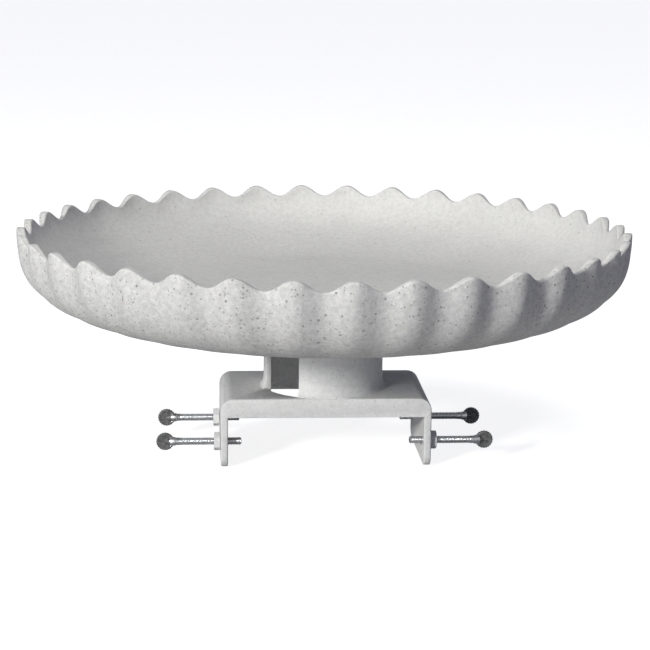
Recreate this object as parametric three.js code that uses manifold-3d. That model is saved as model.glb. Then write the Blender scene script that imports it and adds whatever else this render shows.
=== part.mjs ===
// Scalloped bird bath that clamps onto a deck rail.
// Millimetres, +Z up, X across the rail, Y along the rail.
// The origin is under the middle of the object, level with the bottoms of the bracket's legs.
import * as THREE from 'three';
import { mergeVertices } from 'three/addons/utils/BufferGeometryUtils.js';
import Module from 'manifold-3d';

const wasm = await Module();
wasm.setup();

// ---- Driving dimensions -------------------------------------------------

const GAP = 0.3;                      // clearance between touching pieces

// Bowl
const BOWL_RADIUS = 257.3;            // to the crests of the flutes at the rim
const RIM_TO_PLATE = 137.2;           // crest of the rim down to the bracket's top plate
const FLUTE_COUNT = 36;
const FLUTE_DEPTH = 5.8;              // crest to groove, at the rim
const FLUTE_PHASE = 1.4;              // degrees from +X to the first crest
const SCALLOP_HEIGHT = 9.3;           // rim crest to rim groove
const BOWL_DEPTH = 78.2;              // rim crest to the flat underside
const UNDERSIDE_RADIUS = 120;         // where the flat underside begins
const SHELL_WALL = 4;
const BASIN_RIM_RADIUS = 249.6;
const BASIN_DEPTH = 53;               // rim crest to the basin floor
const BASIN_FLOOR_RADIUS = 150;
const CAVITY_TOP_DEPTH = 26;          // where basin wall and outer wall part from each other

// Underside cover and its fasteners
const COVER_THICKNESS = 3.2;
const COVER_SCREW_COUNT = 6;
const COVER_SCREW_CIRCLE = 105;       // radius
const COVER_SCREW_RADIUS = 2;
const COVER_SCREW_LENGTH = 14;

// Bracket
const BRACKET_WIDTH = 176;
const BRACKET_DEPTH = 105;
const BRACKET_HEIGHT = 59.4;          // leg bottoms to plate top
const PLATE_THICKNESS = 5;
const LEG_THICKNESS = 6;
const LEG_CORNER_RADIUS = 9;
const BEND_RADIUS = 10.5;             // outside of the bend between plate and leg
const SKIRT_HEIGHT = 16.2;            // plate top to skirt bottom
const SKIRT_THICKNESS = 4;

// Collar
const COLLAR_RADIUS = 50.8;
const COLLAR_WALL = 4.3;
const FLARE_WIDTH = 4;
const FLARE_HEIGHT = 9;
const FOOT_MARGIN = 1.1;              // between the flared foot and the plate's open sides
const WINDOW_START = 195.4;           // degrees from +X
const WINDOW_END = 242.9;
const WINDOW_BRIDGE = 14;             // solid ring left above the window
const LUG_THICKNESS = 6;
const LUG_WIDTH = 16;

// Screws that hold the bowl to the collar's lugs
const BOWL_SCREW_COUNT = 4;
const BOWL_SCREW_CIRCLE = 38;         // radius
const BOWL_SCREW_RADIUS = 2.5;
const BOWL_SCREW_LENGTH = 20;
const WASHER_RADIUS = 7;
const WASHER_THICKNESS = 1.2;
const BOSS_RADIUS = 6.5;

// Thumb screws that grip the rail
const THUMB_RADIUS = 3.175;           // quarter-inch shank
const THUMB_LENGTH = 63.6;            // tip to the centre of the spade head
const THUMB_PROTRUSION = 11.3;        // tip proud of the leg's inner face
const THUMB_SPACING = 80;             // between the two screws of one leg
const THUMB_DROP = 38.8;              // plate top to screw axis
const SPADE_RADIUS = 7.6;
const SPADE_THICKNESS = 3.6;
const NUT_RADIUS = 8;                 // to the corners
const NUT_THICKNESS = 5.3;

// ---- Worked-out dimensions ------------------------------------------------

const RIM_Z = BRACKET_HEIGHT + RIM_TO_PLATE;
const UNDERSIDE_Z = RIM_Z - BOWL_DEPTH;
const COVER_RADIUS = UNDERSIDE_RADIUS - SHELL_WALL - GAP;
const COLLAR_TOP_Z = UNDERSIDE_Z - GAP;
const COLLAR_BORE = COLLAR_RADIUS - COLLAR_WALL;
const LUG_BOTTOM_Z = COLLAR_TOP_Z - LUG_THICKNESS;
const THUMB_Z = BRACKET_HEIGHT - THUMB_DROP;
const LEG_INNER_X = BRACKET_WIDTH / 2 - LEG_THICKNESS;

// ---- Materials -------------------------------------------------------------

const stoneResin = new THREE.MeshStandardMaterial({ color: 0xcdcbc7, roughness: 0.62, metalness: 0 });
const coverResin = new THREE.MeshStandardMaterial({ color: 0xb9b8b5, roughness: 0.7, metalness: 0 });
const zincSteel = new THREE.MeshStandardMaterial({ color: 0x8d8f92, roughness: 0.35, metalness: 1 });

// ---- Geometry helpers --------------------------------------------------------

const radians = THREE.MathUtils.degToRad;

/** Turns a closed three.js geometry into a manifold solid. */
function toSolid(geometry) {
  const bare = geometry.clone();
  bare.deleteAttribute('normal');
  bare.deleteAttribute('uv');
  const merged = mergeVertices(bare);
  const index = Array.from(merged.index.array);
  const kept = [];
  for (let i = 0; i < index.length; i += 3) {
    const [a, b, c] = index.slice(i, i + 3);
    if (a !== b && b !== c && c !== a) kept.push(a, b, c);
  }
  const mesh = new wasm.Mesh({
    numProp: 3,
    vertProperties: Float32Array.from(merged.attributes.position.array),
    triVerts: Uint32Array.from(kept),
  });
  return new wasm.Manifold(mesh);
}

/** Turns a manifold solid back into a three.js geometry. */
function toGeometry(solid) {
  const mesh = solid.getMesh();
  const geometry = new THREE.BufferGeometry();
  geometry.setAttribute('position', new THREE.BufferAttribute(mesh.vertProperties, 3));
  geometry.setIndex(new THREE.BufferAttribute(mesh.triVerts, 1));
  geometry.computeVertexNormals();
  return geometry;
}

/** Revolves a profile of [radius, z] points that starts and ends on the Z axis, lowest point first. */
function revolved(profile, segments) {
  const points = profile.map(([radius, z]) => new THREE.Vector2(radius, z));
  return new THREE.LatheGeometry(points, segments).rotateX(Math.PI / 2);
}

/** Extrudes a shape drawn in XY from one height to another. */
function extruded(shape, bottom, top, curveSegments = 12) {
  const settings = { depth: top - bottom, bevelEnabled: false, curveSegments };
  return new THREE.ExtrudeGeometry(shape, settings).translate(0, 0, bottom);
}

/** An upright cylinder between two heights. */
function post(radius, bottom, top, x = 0, y = 0, segments = 16) {
  const cylinder = new THREE.CylinderGeometry(radius, radius, top - bottom, segments);
  return cylinder.rotateX(Math.PI / 2).translate(x, y, (top + bottom) / 2);
}

/** A cylinder or cone along X between two stations. */
function bar(startRadius, endRadius, start, end, segments = 16) {
  const cone = new THREE.CylinderGeometry(startRadius, endRadius, end - start, segments);
  return cone.rotateZ(Math.PI / 2).translate((start + end) / 2, 0, 0);
}

/** A closed outline with arcs at its corners: each corner is [x, y, radius]. */
function roundedOutline(corners) {
  const shape = new THREE.Shape();
  const count = corners.length;
  corners.forEach(([x, y, radius], i) => {
    const corner = new THREE.Vector2(x, y);
    const before = new THREE.Vector2(...corners[(i + count - 1) % count]).sub(corner).setLength(radius);
    const after = new THREE.Vector2(...corners[(i + 1) % count]).sub(corner).setLength(radius);
    const entry = before.add(corner);
    const exit = after.add(corner);
    if (i === 0) shape.moveTo(entry.x, entry.y);
    else shape.lineTo(entry.x, entry.y);
    if (radius > 0) shape.quadraticCurveTo(x, y, exit.x, exit.y);
  });
  shape.closePath();
  return shape;
}

/** The point at an angle on a circle of fasteners. */
function onCircle(radius, index, count, phase = 0) {
  const angle = phase + (2 * Math.PI * index) / count;
  return [radius * Math.cos(angle), radius * Math.sin(angle)];
}

// ---- Bowl ------------------------------------------------------------------

/** A superellipse quarter from a rim at depth 0 to a flat of radius `flat` at `depth`. */
function bowlCurve(rim, flat, depth, sharpness, flatness, steps, start) {
  const points = [];
  for (let i = 0; i <= steps; i += 1) {
    const angle = THREE.MathUtils.lerp(start, Math.PI / 2, i / steps);
    const radius = flat + (rim - flat) * Math.abs(Math.cos(angle)) ** (2 / sharpness);
    const drop = depth * Math.sin(angle) ** (2 / flatness);
    points.push([radius, RIM_Z - drop]);
  }
  return points;
}

const outerCurve = (steps, start) =>
  bowlCurve(BOWL_RADIUS, UNDERSIDE_RADIUS, BOWL_DEPTH, 2.18, 2.96, steps, start);

const basinCurve = (steps, start) =>
  bowlCurve(BASIN_RIM_RADIUS, BASIN_FLOOR_RADIUS, BASIN_DEPTH, 1.7, 2.3, steps, start);

/** Moves a profile sideways by `distance`, to its left as it runs. */
function offsetCurve(points, distance) {
  return points.map(([radius, z], i) => {
    const [r0, z0] = points[Math.max(i - 1, 0)];
    const [r1, z1] = points[Math.min(i + 1, points.length - 1)];
    const length = Math.hypot(r1 - r0, z1 - z0);
    return [radius - (distance * (z1 - z0)) / length, z + (distance * (r1 - r0)) / length];
  });
}

/** The solid outer form of the bowl, with its flutes and its scalloped rim. */
function flutedBlank() {
  const segments = FLUTE_COUNT * 4;
  const rows = outerCurve(6, 0.1);
  const positions = [];
  const index = [];
  const groove = (j) => (1 - Math.cos((2 * Math.PI * j) / 4)) / 2;
  const addRing = (radiusAt, zAt) => {
    for (let j = 0; j < segments; j += 1) {
      const angle = radians(FLUTE_PHASE) + (2 * Math.PI * j) / segments;
      const radius = radiusAt(groove(j));
      positions.push(radius * Math.cos(angle), radius * Math.sin(angle), zAt(groove(j)));
    }
  };
  rows.reverse().forEach(([radius, z]) => {
    const fade = Math.max(0, 1 - ((RIM_Z - z) / BOWL_DEPTH) ** 2);
    addRing((g) => radius - FLUTE_DEPTH * fade * g, () => z);
  });
  addRing((g) => BOWL_RADIUS - FLUTE_DEPTH * g, (g) => RIM_Z - SCALLOP_HEIGHT * g);
  addRing(() => BASIN_RIM_RADIUS - 12, (g) => RIM_Z - SCALLOP_HEIGHT * g);
  const ringCount = rows.length + 2;
  for (let i = 0; i < ringCount - 1; i += 1) {
    for (let j = 0; j < segments; j += 1) {
      const next = (j + 1) % segments;
      const [a, b] = [i * segments + j, i * segments + next];
      const [c, d] = [b + segments, a + segments];
      index.push(a, b, c, a, c, d);
    }
  }
  const bottomCentre = positions.length / 3;
  positions.push(0, 0, UNDERSIDE_Z, 0, 0, RIM_Z - SCALLOP_HEIGHT / 2);
  const topRing = (ringCount - 1) * segments;
  for (let j = 0; j < segments; j += 1) {
    const next = (j + 1) % segments;
    index.push(bottomCentre, next, j, bottomCentre + 1, topRing + j, topRing + next);
  }
  const geometry = new THREE.BufferGeometry();
  geometry.setAttribute('position', new THREE.Float32BufferAttribute(positions, 3));
  geometry.setIndex(index);
  return geometry;
}

/** The space that the water fills, carried on up past the rim. */
function basinTool() {
  const wall = basinCurve(6, 0.02).reverse();
  const above = RIM_Z + 10;
  return revolved([[0, RIM_Z - BASIN_DEPTH], ...wall, [BASIN_RIM_RADIUS + 0.6, above], [0, above]], 48);
}

/** The hollow between basin and outer wall, open at the underside. */
function cavityTool() {
  const topZ = RIM_Z - CAVITY_TOP_DEPTH;
  const opening = UNDERSIDE_RADIUS - SHELL_WALL;
  const outside = offsetCurve(outerCurve(6, 0.1).reverse(), SHELL_WALL + FLUTE_DEPTH / 2)
    .filter(([radius, z]) => z < topZ && radius > opening);
  const ceiling = offsetCurve(basinCurve(6, 0.02), SHELL_WALL).filter(([, z]) => z < topZ);
  const profile = [[0, UNDERSIDE_Z - 10], [opening, UNDERSIDE_Z - 10], ...outside, ...ceiling];
  profile.push([0, RIM_Z - BASIN_DEPTH - SHELL_WALL]);
  return revolved(profile, 36);
}

/** The double-walled bowl, with bosses under its basin floor. */
function bowl() {
  const bossTop = RIM_Z - BASIN_DEPTH - SHELL_WALL / 2;
  const bossBottom = UNDERSIDE_Z + COVER_THICKNESS + GAP;
  let solid = toSolid(flutedBlank()).subtract(toSolid(basinTool())).subtract(toSolid(cavityTool()));
  const addBosses = (circle, count, screwRadius, depth) => {
    for (let i = 0; i < count; i += 1) {
      const [x, y] = onCircle(circle, i, count);
      const hole = post(screwRadius + GAP, bossBottom - 5, bossBottom + depth, x, y, 12);
      solid = solid.add(toSolid(post(BOSS_RADIUS, bossBottom, bossTop, x, y, 12))).subtract(toSolid(hole));
    }
  };
  addBosses(COVER_SCREW_CIRCLE, COVER_SCREW_COUNT, COVER_SCREW_RADIUS, COVER_SCREW_LENGTH);
  addBosses(BOWL_SCREW_CIRCLE, BOWL_SCREW_COUNT, BOWL_SCREW_RADIUS, BOWL_SCREW_LENGTH);
  return toGeometry(solid);
}

/** The round plate that closes the underside of the bowl. */
function undersideCover() {
  const disc = new THREE.Shape().absarc(0, 0, COVER_RADIUS, 0, 2 * Math.PI);
  const addHoles = (circle, count, radius) => {
    for (let i = 0; i < count; i += 1) {
      const [x, y] = onCircle(circle, i, count);
      disc.holes.push(new THREE.Path().absarc(x, y, radius + GAP, 0, 2 * Math.PI, true));
    }
  };
  addHoles(COVER_SCREW_CIRCLE, COVER_SCREW_COUNT, COVER_SCREW_RADIUS);
  addHoles(BOWL_SCREW_CIRCLE, BOWL_SCREW_COUNT, BOWL_SCREW_RADIUS);
  return extruded(disc, UNDERSIDE_Z, UNDERSIDE_Z + COVER_THICKNESS, 8);
}

// ---- Bracket -----------------------------------------------------------------

/** Plate and two legs: an inverted U across the rail. */
function saddle() {
  const half = BRACKET_WIDTH / 2;
  const top = BRACKET_HEIGHT;
  const inside = Math.max(BEND_RADIUS - LEG_THICKNESS, 1);
  const outline = roundedOutline([
    [-half, 0, 0],
    [-LEG_INNER_X, 0, 0],
    [-LEG_INNER_X, top - PLATE_THICKNESS, inside],
    [LEG_INNER_X, top - PLATE_THICKNESS, inside],
    [LEG_INNER_X, 0, 0],
    [half, 0, 0],
    [half, top, BEND_RADIUS],
    [-half, top, BEND_RADIUS],
  ]);
  const depth = BRACKET_DEPTH / 2;
  return extruded(outline, -depth, depth, 6).rotateX(Math.PI / 2);
}

/** The side view of the bracket, which rounds the lower corners of both legs. */
function legTrim() {
  const half = BRACKET_DEPTH / 2;
  const corner = LEG_CORNER_RADIUS;
  const outline = roundedOutline([[-half, 0, corner], [half, 0, corner], [half, 80, 0], [-half, 80, 0]]);
  const width = BRACKET_WIDTH / 2 + 1;
  return extruded(outline, -width, width, 6).rotateX(Math.PI / 2).rotateZ(Math.PI / 2);
}

/** The lip below the plate along one open side of the bracket. */
function skirt(side) {
  const length = 2 * LEG_INNER_X + LEG_THICKNESS;
  const box = new THREE.BoxGeometry(length, SKIRT_THICKNESS, SKIRT_HEIGHT - PLATE_THICKNESS / 2);
  const y = (side * (BRACKET_DEPTH - SKIRT_THICKNESS)) / 2;
  return box.translate(0, y, BRACKET_HEIGHT - SKIRT_HEIGHT + (SKIRT_HEIGHT - PLATE_THICKNESS / 2) / 2);
}

/** The tube that carries the bowl, with its hollow-curved foot. */
function collarBlank() {
  const foot = BRACKET_HEIGHT - PLATE_THICKNESS / 2;
  const profile = [[0, foot], [COLLAR_RADIUS + FLARE_WIDTH, foot]];
  const steps = 3;
  for (let i = 0; i <= steps; i += 1) {
    const angle = (i / steps) * (Math.PI / 2);
    const radius = COLLAR_RADIUS + FLARE_WIDTH * (1 - Math.sin(angle));
    profile.push([radius, BRACKET_HEIGHT + FLARE_HEIGHT * (1 - Math.cos(angle))]);
  }
  profile.push([COLLAR_RADIUS, COLLAR_TOP_Z], [0, COLLAR_TOP_Z]);
  return revolved(profile, 48);
}

/** A block that keeps the collar's foot on the plate, a little inside its open sides. */
function collarTrim() {
  const deep = BRACKET_DEPTH - 2 * FOOT_MARGIN;
  return new THREE.BoxGeometry(4 * COLLAR_RADIUS, deep, 4 * BRACKET_HEIGHT).translate(0, 0, BRACKET_HEIGHT);
}

/** A wedge-shaped piece of the collar's wall, between two radii. */
function windowTool(innerRadius, outerRadius, bottom, top) {
  const sector = new THREE.Shape();
  sector.absarc(0, 0, outerRadius, radians(WINDOW_START), radians(WINDOW_END));
  sector.absarc(0, 0, innerRadius, radians(WINDOW_END), radians(WINDOW_START), true);
  sector.closePath();
  return extruded(sector, bottom, top);
}

/** A rounded tab inside the top of the collar that takes one bowl screw. */
function lug(index) {
  const tip = LUG_WIDTH / 2;
  const tab = new THREE.Shape();
  tab.moveTo(COLLAR_BORE + COLLAR_WALL / 2, tip);
  tab.lineTo(BOWL_SCREW_CIRCLE, tip);
  tab.absarc(BOWL_SCREW_CIRCLE, 0, tip, Math.PI / 2, (3 * Math.PI) / 2);
  tab.lineTo(COLLAR_BORE + COLLAR_WALL / 2, -tip);
  tab.closePath();
  const hole = new THREE.Path().absarc(BOWL_SCREW_CIRCLE, 0, BOWL_SCREW_RADIUS + GAP, 0, 2 * Math.PI, true);
  tab.holes.push(hole);
  return extruded(tab, LUG_BOTTOM_Z, COLLAR_TOP_Z, 8).rotateZ((2 * Math.PI * index) / BOWL_SCREW_COUNT);
}

/** The one-piece moulding that sits on the rail and carries the bowl. */
function deckBracket() {
  const below = -1;
  let solid = toSolid(saddle()).intersect(toSolid(legTrim()));
  const collar = toSolid(collarBlank()).intersect(toSolid(collarTrim()));
  solid = solid.add(toSolid(skirt(-1))).add(toSolid(skirt(1))).add(collar);
  solid = solid.subtract(toSolid(post(COLLAR_BORE, below, COLLAR_TOP_Z + 1, 0, 0, 48)));
  const windowTop = COLLAR_TOP_Z - WINDOW_BRIDGE;
  solid = solid.subtract(toSolid(windowTool(COLLAR_BORE - 5, COLLAR_RADIUS, below, BRACKET_HEIGHT + 1)));
  const reach = COLLAR_RADIUS + FLARE_WIDTH + 2;
  solid = solid.subtract(toSolid(windowTool(COLLAR_BORE - 5, reach, BRACKET_HEIGHT, windowTop)));
  for (let i = 0; i < BOWL_SCREW_COUNT; i += 1) solid = solid.add(toSolid(lug(i)));
  for (const y of [-THUMB_SPACING / 2, THUMB_SPACING / 2]) {
    const drill = bar(THUMB_RADIUS + GAP, THUMB_RADIUS + GAP, -BRACKET_WIDTH, BRACKET_WIDTH);
    solid = solid.subtract(toSolid(drill.translate(0, y, THUMB_Z)));
  }
  return toGeometry(solid);
}

// ---- Fasteners -----------------------------------------------------------------

/** A pan-head screw that points up, its head's bearing face at z = 0. */
function panHeadScrew(shankRadius, length) {
  const headRadius = shankRadius * 2;
  const headHeight = shankRadius * 1.4;
  const profile = [[0, -headHeight]];
  for (const angle of [60, 25, 0]) {
    const crown = radians(angle);
    profile.push([headRadius * Math.cos(crown), -headHeight * (0.4 + 0.6 * Math.sin(crown))]);
  }
  profile.push([headRadius, 0], [shankRadius, 0], [shankRadius, length - shankRadius]);
  profile.push([shankRadius * 0.4, length], [0, length]);
  return revolved(profile, 12);
}

/** A flat washer, its lower face at z = 0. */
function washer() {
  const ring = new THREE.Shape().absarc(0, 0, WASHER_RADIUS, 0, 2 * Math.PI);
  ring.holes.push(new THREE.Path().absarc(0, 0, BOWL_SCREW_RADIUS + GAP, 0, 2 * Math.PI, true));
  return extruded(ring, 0, WASHER_THICKNESS, 8);
}

/** A hexagon nut along +X with one corner up, its inner face at x = 0. */
function hexNut() {
  const hexagon = new THREE.Shape();
  for (let i = 0; i < 6; i += 1) {
    const [x, y] = onCircle(NUT_RADIUS, i, 6);
    if (i === 0) hexagon.moveTo(x, y);
    else hexagon.lineTo(x, y);
  }
  hexagon.closePath();
  hexagon.holes.push(new THREE.Path().absarc(0, 0, THUMB_RADIUS + GAP, 0, 2 * Math.PI, true));
  return extruded(hexagon, 0, NUT_THICKNESS, 8).rotateY(Math.PI / 2);
}

/** A thumb screw along +X: tip at x = 0, then shank, neck and flattened spade head. */
function thumbScrew() {
  const neckStart = THUMB_LENGTH - 11;
  const neckEnd = THUMB_LENGTH - 5;
  const neckRadius = THUMB_RADIUS + 0.7;
  const disc = new THREE.Shape().absarc(0, 0, SPADE_RADIUS - 0.8, 0, 2 * Math.PI);
  const bevel = { bevelEnabled: true, bevelThickness: 0.8, bevelSize: 0.8, bevelSegments: 2 };
  const spade = new THREE.ExtrudeGeometry(disc, { depth: SPADE_THICKNESS - 1.6, curveSegments: 8, ...bevel });
  spade.translate(0, 0, 0.8 - SPADE_THICKNESS / 2).rotateX(Math.PI / 2).translate(THUMB_LENGTH, 0, 0);
  let solid = toSolid(bar(THUMB_RADIUS - 0.6, THUMB_RADIUS, 0, 0.6));
  solid = solid.add(toSolid(bar(THUMB_RADIUS, THUMB_RADIUS, 0.6, THUMB_LENGTH - 4)));
  solid = solid.add(toSolid(bar(THUMB_RADIUS, neckRadius, neckStart, neckEnd)));
  solid = solid.add(toSolid(bar(neckRadius, THUMB_RADIUS / 2, neckEnd, THUMB_LENGTH + 1)));
  return toGeometry(solid.add(toSolid(spade)));
}

// ---- Assembly --------------------------------------------------------------------

const birdBath = new THREE.Group();

/** Adds one named piece and returns it, so that it can be placed. */
function addPiece(name, geometry, material) {
  const piece = new THREE.Mesh(geometry, material);
  piece.name = name;
  birdBath.add(piece);
  return piece;
}

addPiece('bowl', bowl(), stoneResin);
addPiece('underside_cover', undersideCover(), coverResin);
addPiece('deck_bracket', deckBracket(), stoneResin);

const coverScrew = panHeadScrew(COVER_SCREW_RADIUS, COVER_SCREW_LENGTH);
for (let i = 0; i < COVER_SCREW_COUNT; i += 1) {
  const [x, y] = onCircle(COVER_SCREW_CIRCLE, i, COVER_SCREW_COUNT);
  addPiece(`cover_screw_${i + 1}`, coverScrew, zincSteel).position.set(x, y, UNDERSIDE_Z - GAP);
}

const bowlScrew = panHeadScrew(BOWL_SCREW_RADIUS, BOWL_SCREW_LENGTH);
const washerZ = LUG_BOTTOM_Z - GAP - WASHER_THICKNESS;
for (let i = 0; i < BOWL_SCREW_COUNT; i += 1) {
  const [x, y] = onCircle(BOWL_SCREW_CIRCLE, i, BOWL_SCREW_COUNT);
  addPiece(`bowl_screw_${i + 1}`, bowlScrew, zincSteel).position.set(x, y, washerZ - GAP);
  addPiece(`bowl_washer_${i + 1}`, washer(), zincSteel).position.set(x, y, washerZ);
}

// Screws and nuts of the right leg point along +X, and those of the left leg are turned half round.
for (const [sideName, sideSign] of [['left', -1], ['right', 1]]) {
  for (const [endName, endSign] of [['front', -1], ['rear', 1]]) {
    const y = (endSign * THUMB_SPACING) / 2;
    const turn = sideSign > 0 ? 0 : Math.PI;
    const nut = addPiece(`leg_nut_${sideName}_${endName}`, hexNut(), stoneResin);
    nut.position.set(sideSign * (BRACKET_WIDTH / 2 + GAP), y, THUMB_Z);
    nut.rotation.z = turn;
    const screw = addPiece(`thumb_screw_${sideName}_${endName}`, thumbScrew(), zincSteel);
    screw.position.set(sideSign * (LEG_INNER_X - THUMB_PROTRUSION), y, THUMB_Z);
    screw.rotation.z = turn;
  }
}

export default birdBath;
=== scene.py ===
"""A deck-rail bird bath: a scalloped stone-effect bowl on a clamp bracket."""
import math

import bmesh
import bpy
import numpy as np
from mathutils import Matrix, Vector, noise


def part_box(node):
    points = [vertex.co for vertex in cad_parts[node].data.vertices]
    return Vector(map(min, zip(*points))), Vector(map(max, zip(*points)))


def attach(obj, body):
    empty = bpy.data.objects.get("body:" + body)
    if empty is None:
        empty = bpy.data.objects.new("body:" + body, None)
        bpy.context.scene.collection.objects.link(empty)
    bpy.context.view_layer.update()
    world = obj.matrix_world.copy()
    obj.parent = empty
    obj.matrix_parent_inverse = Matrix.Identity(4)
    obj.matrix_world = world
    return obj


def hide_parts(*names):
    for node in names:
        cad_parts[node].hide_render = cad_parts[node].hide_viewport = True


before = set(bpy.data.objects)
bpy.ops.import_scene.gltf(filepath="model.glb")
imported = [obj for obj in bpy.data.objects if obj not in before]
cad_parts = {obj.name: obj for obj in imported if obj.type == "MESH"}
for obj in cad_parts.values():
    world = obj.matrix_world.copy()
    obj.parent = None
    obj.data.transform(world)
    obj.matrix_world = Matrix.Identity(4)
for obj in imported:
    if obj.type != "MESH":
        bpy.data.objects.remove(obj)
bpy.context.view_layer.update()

MM = 0.001
BODY = "stand"

# ---- Places and sizes that come from the frame -----------------------------------

bowl_low, bowl_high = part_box("bowl")
bracket_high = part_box("deck_bracket")[1]
cover_low, cover_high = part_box("underside_cover")
screw_low, screw_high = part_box("thumb_screw_right_front")
nut_low, nut_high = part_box("leg_nut_right_front")

RIM_Z = bowl_high.z
UNDERSIDE_Z = bowl_low.z
COLLAR_TOP_Z = bracket_high.z

# ---- Bowl: the same driving dimensions as the CAD, in metres ---------------------

BOWL_RADIUS = 257.3 * MM
FLUTE_COUNT = 36
FLUTE_DEPTH = 5.8 * MM
INNER_FLUTE_DEPTH = 2.2 * MM
FLUTE_PHASE = math.radians(1.4)
SCALLOP_HEIGHT = 9.3 * MM
BOWL_DEPTH = RIM_Z - UNDERSIDE_Z
UNDERSIDE_RADIUS = 120 * MM
SHELL_WALL = 4 * MM
BASIN_RIM_RADIUS = 249.6 * MM
BASIN_DEPTH = 53 * MM
BASIN_FLOOR_RADIUS = 150 * MM
OUTER_SHARPNESS, OUTER_FLATNESS = 2.18, 2.96      # exponents of the outer wall's curve
BASIN_SHARPNESS, BASIN_FLATNESS = 1.7, 2.3        # exponents of the basin wall's curve
INNER_FLUTE_REACH = 34 * MM                       # below the rim
RIM_ROUNDING = 1.7 * MM
COLUMNS_PER_FLUTE = 20

# ---- Bracket and fasteners -------------------------------------------------------

BRACKET_DEPTH = 105 * MM
BRACKET_HEIGHT = 59.4 * MM
PLATE_THICKNESS = 5 * MM
LEG_THICKNESS = 6 * MM
LEG_CORNER_RADIUS = 9 * MM
BEND_RADIUS = 10.5 * MM
SKIRT_HEIGHT = 16.2 * MM
SKIRT_THICKNESS = 4 * MM
COLLAR_RADIUS = 50.8 * MM
COLLAR_BORE = 46.5 * MM
FLARE_WIDTH = 4 * MM
FLARE_HEIGHT = 9 * MM
FOOT_MARGIN = 1.1 * MM                            # from the collar's foot to the plate's front and rear
WINDOW_START = math.radians(195.4)
WINDOW_END = math.radians(242.9)
WINDOW_BRIDGE = 14 * MM
LUG_THICKNESS = 6 * MM
LUG_WIDTH = 16 * MM
BOWL_SCREW_COUNT, BOWL_SCREW_CIRCLE = 4, 38 * MM
BOWL_SCREW_RADIUS, BOWL_SCREW_LENGTH = 2.5 * MM, 20 * MM
COVER_SCREW_COUNT, COVER_SCREW_CIRCLE = 6, 105 * MM
COVER_SCREW_RADIUS, COVER_SCREW_LENGTH = 2 * MM, 14 * MM
CLEARANCE = 0.3 * MM                              # between a screw and its hole
EDGE_ROUNDING = 1.1 * MM
SKIRT_ROUNDING = 0.9 * MM
CUT_EDGE_ROUNDING = 0.3 * MM

THUMB_RADIUS = 3.175 * MM
THUMB_SPACING = 80 * MM
THREAD_PITCH = 1.27 * MM
THREAD_DEPTH = 0.42 * MM
NECK_LENGTH = 11 * MM                             # of smooth shank before the head's middle
SPADE_RADIUS = 7.6 * MM
SPADE_THICKNESS = 3.6 * MM
KNURL_COUNT = 20
SHANK_LENGTH = screw_high.x - screw_low.x - SPADE_RADIUS    # from the tip to the head's middle

# ---- Camera, lights and surroundings ---------------------------------------------

CAMERA_DISTANCE = 1.638                           # metres from the rim's middle
CAMERA_ELEVATION = 8.933                          # this and the next four are in degrees
CAMERA_YAW, CAMERA_PITCH, CAMERA_ROLL = 0.046, 11.855, 0.607
CAMERA_TURN = -3.755                              # round the bowl's axis
CAMERA_LENS, SENSOR_WIDTH = 107.5, 36             # millimetres

LIGHT_DISTANCE = 3.0
LIGHT_TARGET = Vector((0, 0, 0.1))
LIGHTS = {                                        # azimuth, elevation, size, power, colour
    "key": (232, 17, 0.35, 57, (1.0, 1.0, 0.965)),
    "low": (228, 6, 0.12, 15, (1.0, 1.0, 1.0)),
    "top": (252, 76, 1.8, 46, (1.0, 0.985, 0.90)),
}

SURROUNDINGS = (0.052, 0.060, 0.125, 1.0)
STUDIO_IN_METAL = (0.55, 0.56, 0.58, 1.0)
BACKDROP = (0.97, 0.97, 0.98, 1.0)
FLOOR_TONE, FLOOR_GLOW = (0.5, 0.5, 0.5, 1.0), 0.85
FLOOR_HALF_WIDTH = 30


# ---- Mesh helpers ----------------------------------------------------------------

def mesh_object(name, verts, faces):
    """A linked object from plain vertices and faces."""
    mesh = bpy.data.meshes.new(name)
    mesh.from_pydata([tuple(v) for v in verts], [], [tuple(f) for f in faces])
    mesh.validate()
    obj = bpy.data.objects.new(name, mesh)
    bpy.context.scene.collection.objects.link(obj)
    return obj


def recalculate_normals(obj):
    """Turns every face of a closed mesh to face out."""
    bm = bmesh.new()
    bm.from_mesh(obj.data)
    bmesh.ops.recalc_face_normals(bm, faces=bm.faces)
    bm.to_mesh(obj.data)
    bm.free()


def ring_solid(name, rings):
    """A closed body through rings of points, all of one length, with a pole point at each end."""
    count = len(rings[0])
    verts = [tuple(p) for ring in rings for p in ring]
    faces = []
    for i in range(len(rings) - 1):
        for j in range(count):
            k = (j + 1) % count
            a, b = i * count + j, i * count + k
            faces.append((a, b, b + count, a + count))
    for ring, order in ((0, 1), (len(rings) - 1, -1)):
        centre = len(verts)
        verts.append(tuple(np.mean(np.array(rings[ring]), axis=0)))
        for j in range(count):
            k = (j + 1) % count
            pair = (ring * count + j, ring * count + k)
            faces.append((centre, *pair[::-order]))
    obj = mesh_object(name, verts, faces)
    recalculate_normals(obj)
    return obj


def revolve(name, profile, segments):
    """A closed body round Z from (radius, height) points that start and end near the axis."""
    angles = np.linspace(0, 2 * math.pi, segments, endpoint=False)
    rings = []
    for radius, height in profile:
        across, along = radius * np.cos(angles), radius * np.sin(angles)
        rings.append(np.stack((across, along, np.full(segments, height)), axis=1))
    return ring_solid(name, rings)


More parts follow.
